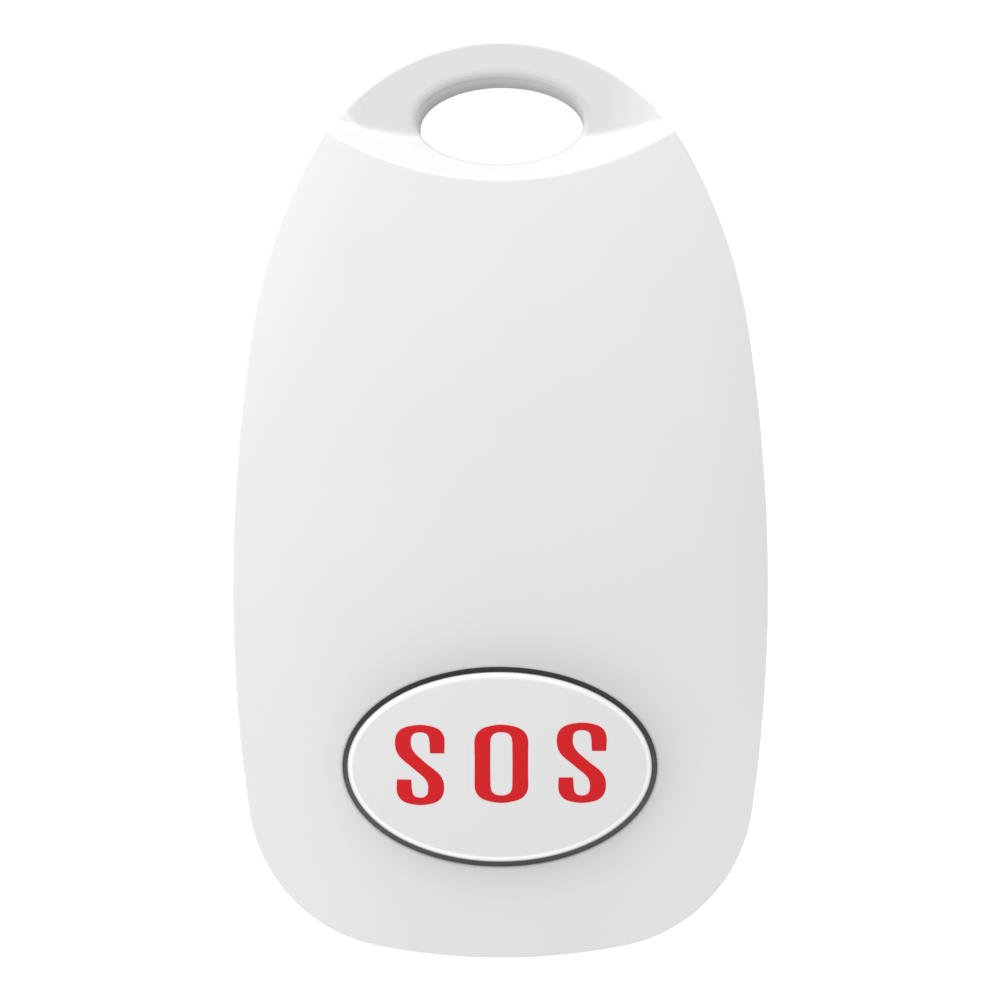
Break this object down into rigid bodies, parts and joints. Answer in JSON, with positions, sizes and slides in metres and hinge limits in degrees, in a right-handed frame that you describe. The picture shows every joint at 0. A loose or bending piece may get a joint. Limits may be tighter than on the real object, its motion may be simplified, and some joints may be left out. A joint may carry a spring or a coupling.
{
  "type": "wireless panic button",
  "caption": "Pocket radio panic button with an oval push cap on a domed tapering housing and a lanyard eye at its narrow end.",
  "frame": {"origin": "middle of the flat rear face, on which the button lies", "axes": "+X across the width, +Y along the length towards the lanyard eye, +Z out of the front face"},
  "size_m": [0.035, 0.06, 0.0121],
  "materials": {
    "housing_plastic": "fine satin moulding",
    "cap_plastic": "fine satin moulding with red letters",
    "seal_rubber": "matt silicone",
    "screw_steel": "zinc plated",
    "board_laminate": "glass laminate under green solder mask",
    "switch_plastic": "matt black moulding",
    "stamped_steel": "bright stamped sheet",
    "plunger_plastic": "matt black moulding",
    "tinned_metal": "tinned",
    "cell_steel": "satin nickel plating",
    "holder_plastic": "matt black moulding",
    "contact_metal": "gold flashed spring bronze",
    "chip_resin": "moulded resin",
    "crystal_steel": "satin can",
    "capacitor_ceramic": "fired ceramic",
    "resistor_ceramic": "glazed ceramic"
  },
  "bodies": {
    "housing": {"front_cover": "housing_plastic", "rear_cover": "housing_plastic", "button_seal": "seal_rubber", "housing_gasket": "seal_rubber", "cover_screws": "screw_steel", "circuit_board": "board_laminate", "switch_base": "switch_plastic", "switch_frame": "stamped_steel", "switch_dome": "stamped_steel", "switch_terminals": "tinned_metal", "coin_cell": "cell_steel", "battery_holder": "holder_plastic", "battery_clip": "contact_metal", "battery_spring": "contact_metal", "antenna_strip": "contact_metal", "radio_chip": "chip_resin", "control_chip": "chip_resin", "control_leads": "tinned_metal", "crystal_can": "crystal_steel", "chip_capacitors": "capacitor_ceramic", "chip_resistors": "resistor_ceramic"},
    "button": {"push_cap": "cap_plastic"},
    "plunger": {"switch_plunger": "plunger_plastic"}
  },
  "joints": [
    {"name": "button_press", "type": "slide", "parent": "housing", "child": "button", "axis": [0, 0, -1], "range_m": [0, 0.0003], "stiffness_N_per_m": 1500, "springref_m": -0.0003},
    {"name": "plunger_press", "type": "slide", "parent": "housing", "child": "plunger", "axis": [0, 0, -1], "range_m": [0, 0.0003], "deforming": ["switch_dome"]}
  ],
  "couplings": [
    {"joint": "plunger_press", "follows": "button_press", "ratio": 1}
  ]
}
